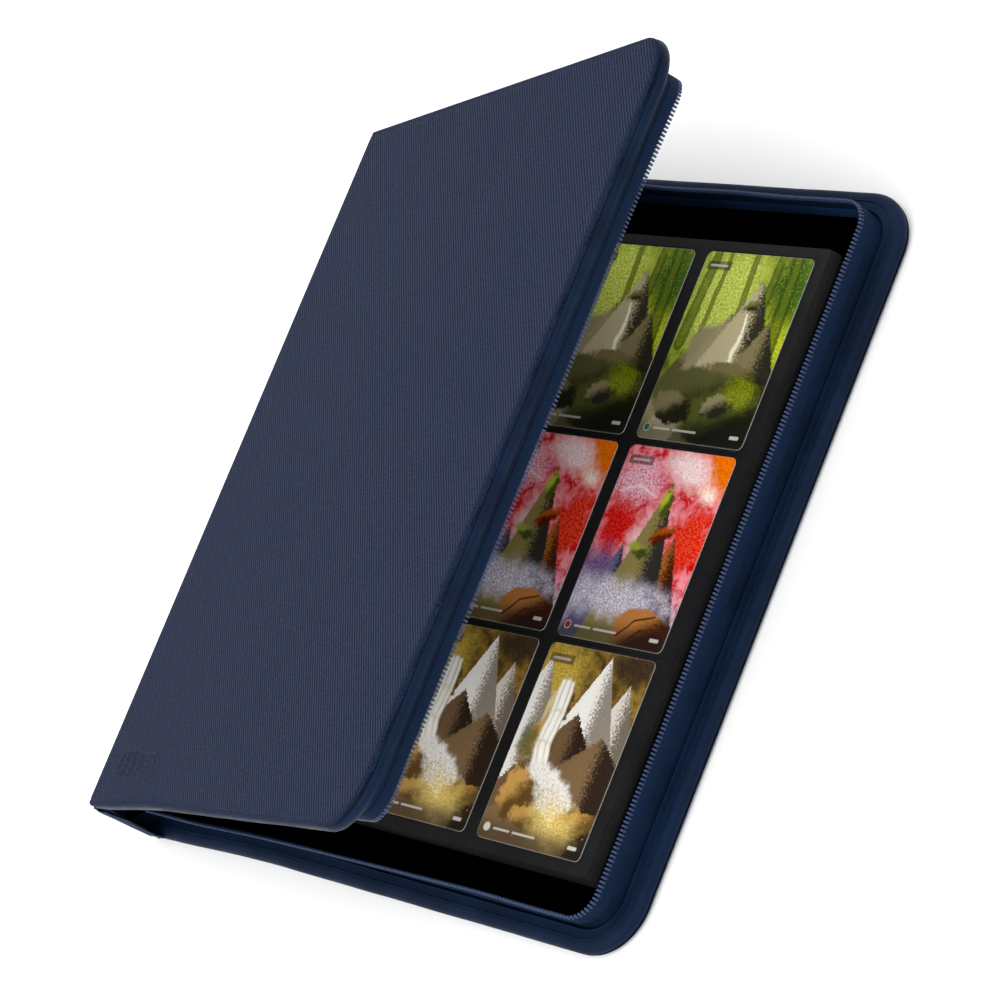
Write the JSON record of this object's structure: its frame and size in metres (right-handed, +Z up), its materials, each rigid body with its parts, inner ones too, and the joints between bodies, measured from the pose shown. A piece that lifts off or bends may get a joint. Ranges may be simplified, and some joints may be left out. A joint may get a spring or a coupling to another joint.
{
  "type": "trading card binder",
  "caption": "Zip-round binder with padded covers, a stiff folding spine and side-loading leaves that hold trading cards in rows and columns.",
  "frame": {"origin": "middle of the back cover's outline, on the face that rests on the table", "axes": "+X from the spine to the fore-edge, +Y to the head of the pages, +Z up from the table"},
  "size_m": [0.32, 0.345, 0.1479],
  "materials": {
    "ribbed_cover": "fine-ribbed coated fabric, satin",
    "smooth_cover": "smooth coated fabric, satin",
    "board": "raw board, hidden",
    "lining": "matt black",
    "zip_tape": "woven tape",
    "zip_teeth": "moulded, semi-gloss",
    "zip_metal": "enamelled",
    "page_film": "charcoal film, satin",
    "clear_film": "clear, gloss",
    "card_stock": "printed, coated"
  },
  "bodies": {
    "back": {"back_skin": "ribbed_cover", "back_board": "board", "back_lining": "lining", "back_rim": "smooth_cover", "back_wall": "smooth_cover", "back_tape": "zip_tape", "back_teeth": "zip_teeth", "binding_strip": "lining", "leaf_08": "page_film", "leaf_09": "page_film", "leaf_10": "page_film", "leaf_11": "page_film", "leaf_12": "page_film", "leaf_13": "page_film", "leaf_14": "page_film", "leaf_15": "page_film", "leaf_16": "page_film", "leaf_17": "page_film", "leaf_18": "page_film", "leaf_19": "page_film", "leaf_20": "page_film"},
    "spine": {"spine_skin": "ribbed_cover", "spine_board": "board", "spine_lining": "lining", "tab_head": "zip_tape", "tab_tail": "zip_tape"},
    "front": {"front_skin": "ribbed_cover", "front_board": "board", "front_lining": "lining", "front_rim": "smooth_cover", "front_wall": "smooth_cover", "front_tape": "zip_tape", "front_teeth": "zip_teeth"},
    "slider": {"slider": "zip_metal"},
    "pull": {"pull": "zip_metal"},
    "leaf_top": {"leaf_01": "page_film", "pocket_film": "clear_film", "card_1a": "card_stock", "card_1b": "card_stock", "card_1c": "card_stock", "card_1d": "card_stock", "card_2a": "card_stock", "card_2b": "card_stock", "card_2c": "card_stock", "card_2d": "card_stock", "card_3a": "card_stock", "card_3b": "card_stock", "card_3c": "card_stock", "card_3d": "card_stock"},
    "leaf_upper": {"leaf_02": "page_film", "leaf_03": "page_film", "leaf_04": "page_film"},
    "leaf_middle": {"leaf_05": "page_film", "leaf_06": "page_film", "leaf_07": "page_film"}
  },
  "joints": [
    {"name": "spine_fold", "type": "hinge", "parent": "back", "child": "spine", "pos_m": [-0.1584, 0, 0.0016], "axis": [0, -1, 0], "range_deg": [0, 90]},
    {"name": "front_fold", "type": "hinge", "parent": "spine", "child": "front", "pos_m": [-0.1584, 0, 0.0394], "axis": [0, -1, 0], "range_deg": [-19.8, 70.2]},
    {"name": "slider_run", "type": "slide", "parent": "back", "child": "slider", "axis": [1, 0, 0], "range_m": [0, 0.25]},
    {"name": "pull_swing", "type": "hinge", "parent": "slider", "child": "pull", "pos_m": [-0.122, 0.1655, 0.0165], "axis": [0, 0, -1], "range_deg": [0, 170]},
    {"name": "leaf_top_turn", "type": "hinge", "parent": "back", "child": "leaf_top", "pos_m": [-0.1545, 0, 0.02212], "axis": [0, -1, 0], "range_deg": [0, 86]},
    {"name": "leaf_upper_turn", "type": "hinge", "parent": "back", "child": "leaf_upper", "pos_m": [-0.1545, 0, 0.0211], "axis": [0, -1, 0], "range_deg": [0, 42]},
    {"name": "leaf_middle_turn", "type": "hinge", "parent": "back", "child": "leaf_middle", "pos_m": [-0.1545, 0, 0.01852], "axis": [0, -1, 0], "range_deg": [0, 20]}
  ],
  "couplings": [
    {"joint": "leaf_top_turn", "follows": "spine_fold", "ratio": 0.95},
    {"joint": "leaf_upper_turn", "follows": "spine_fold", "ratio": 0.45},
    {"joint": "leaf_middle_turn", "follows": "spine_fold", "ratio": 0.2}
  ]
}
